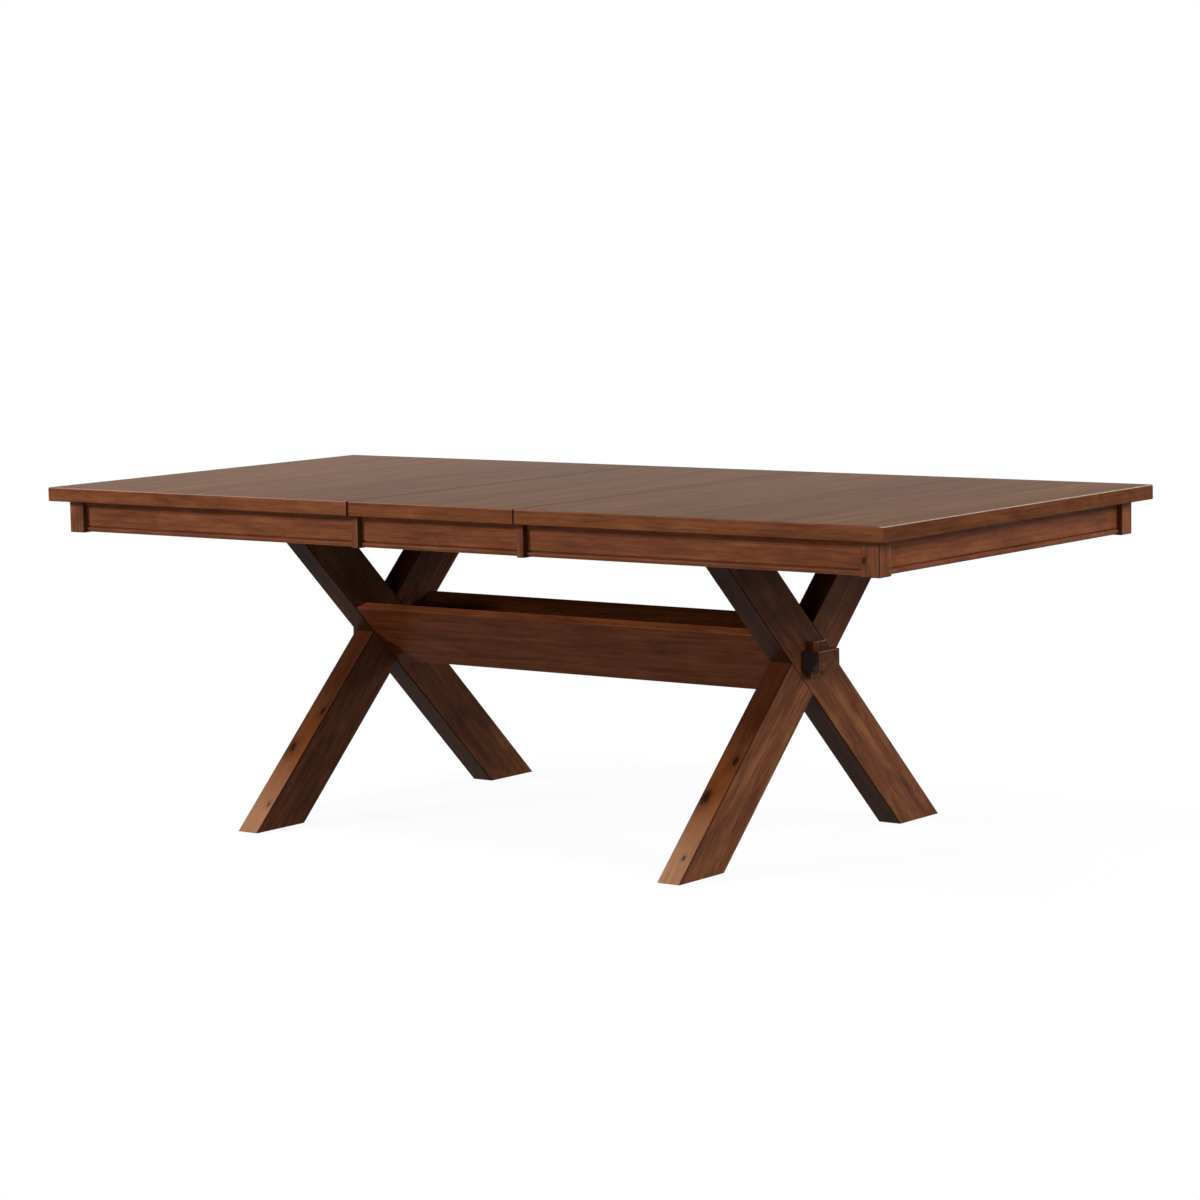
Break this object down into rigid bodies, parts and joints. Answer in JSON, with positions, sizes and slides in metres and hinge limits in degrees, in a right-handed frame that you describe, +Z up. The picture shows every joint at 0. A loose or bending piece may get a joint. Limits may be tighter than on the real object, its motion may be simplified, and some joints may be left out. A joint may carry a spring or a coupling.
{
  "type": "extending sawbuck dining table",
  "caption": "Rectangular wooden dining table whose top halves slide apart on geared slides for a drop-in leaf, on X-shaped trestle frames tied by a V-shaped trough stretcher.",
  "frame": {"origin": "on the floor under the middle of the table", "axes": "+X along the table's length, +Y across it away from the pictured long side, +Z up"},
  "size_m": [2.286, 1.0668, 0.762],
  "materials": {
    "stained_wood": "dark stained wood under satin lacquer",
    "slide_wood": "plain sanded hardwood",
    "steel": "zinc plated",
    "nylon": "moulded nylon"
  },
  "bodies": {
    "base": {"leg_left_a": "stained_wood", "leg_left_b": "stained_wood", "leg_right_a": "stained_wood", "leg_right_b": "stained_wood", "head_beam_left": "slide_wood", "head_beam_right": "slide_wood", "trough_plank_front": "stained_wood", "trough_plank_rear": "stained_wood", "tenon_block_left": "stained_wood", "tenon_block_right": "stained_wood", "wedge_key_left": "stained_wood", "wedge_key_right": "stained_wood", "runner_front": "slide_wood", "runner_rear": "slide_wood", "pinion_axles": "steel", "head_screws": "steel", "runner_screws": "steel", "foot_glides": "nylon"},
    "left_half": {"top_left": "stained_wood", "apron_front_left": "stained_wood", "apron_rear_left": "stained_wood", "apron_end_left": "stained_wood", "post_front_left": "stained_wood", "post_rear_left": "stained_wood", "stile_front_left": "stained_wood", "stile_rear_left": "stained_wood", "corner_block_front_left": "slide_wood", "corner_block_rear_left": "slide_wood", "batten_left": "slide_wood", "rail_left_front": "slide_wood", "rail_left_rear": "slide_wood", "rail_screws_left": "steel", "batten_screws_left": "steel", "pins_left": "steel"},
    "right_half": {"top_right": "stained_wood", "apron_front_right": "stained_wood", "apron_rear_right": "stained_wood", "apron_end_right": "stained_wood", "post_front_right": "stained_wood", "post_rear_right": "stained_wood", "corner_block_front_right": "slide_wood", "corner_block_rear_right": "slide_wood", "batten_right": "slide_wood", "rail_right_front": "slide_wood", "rail_right_rear": "slide_wood", "rail_screws_right": "steel", "batten_screws_right": "steel", "pins_right": "steel"},
    "leaf": {"top_leaf": "stained_wood", "apron_front_leaf": "stained_wood", "apron_rear_leaf": "stained_wood", "stile_front_leaf": "stained_wood", "stile_rear_leaf": "stained_wood", "batten_leaf": "slide_wood", "batten_screws_leaf": "steel"},
    "pinion_front": {"pinion_front": "nylon"},
    "pinion_rear": {"pinion_rear": "nylon"}
  },
  "joints": [
    {"name": "left_half_slide", "type": "slide", "parent": "base", "child": "left_half", "axis": [-1, 0, 0], "range_m": [0, 0.04]},
    {"name": "right_half_slide", "type": "slide", "parent": "base", "child": "right_half", "axis": [1, 0, 0], "range_m": [0, 0.04]},
    {"name": "leaf_lift", "type": "slide", "parent": "base", "child": "leaf", "axis": [0, 0, 1], "range_m": [0, 0.16]},
    {"name": "pinion_front_turn", "type": "hinge", "parent": "base", "child": "pinion_front", "pos_m": [0, -0.26003, 0.7085], "axis": [0, 0, 1], "range_deg": [-80, 0]},
    {"name": "pinion_rear_turn", "type": "hinge", "parent": "base", "child": "pinion_rear", "pos_m": [0, 0.26003, 0.7085], "axis": [0, 0, 1], "range_deg": [-80, 0]}
  ],
  "couplings": [
    {"joint": "right_half_slide", "follows": "left_half_slide", "ratio": 1},
    {"joint": "pinion_front_turn", "follows": "left_half_slide", "rad_per_m": -34.722},
    {"joint": "pinion_rear_turn", "follows": "left_half_slide", "rad_per_m": -34.722}
  ]
}
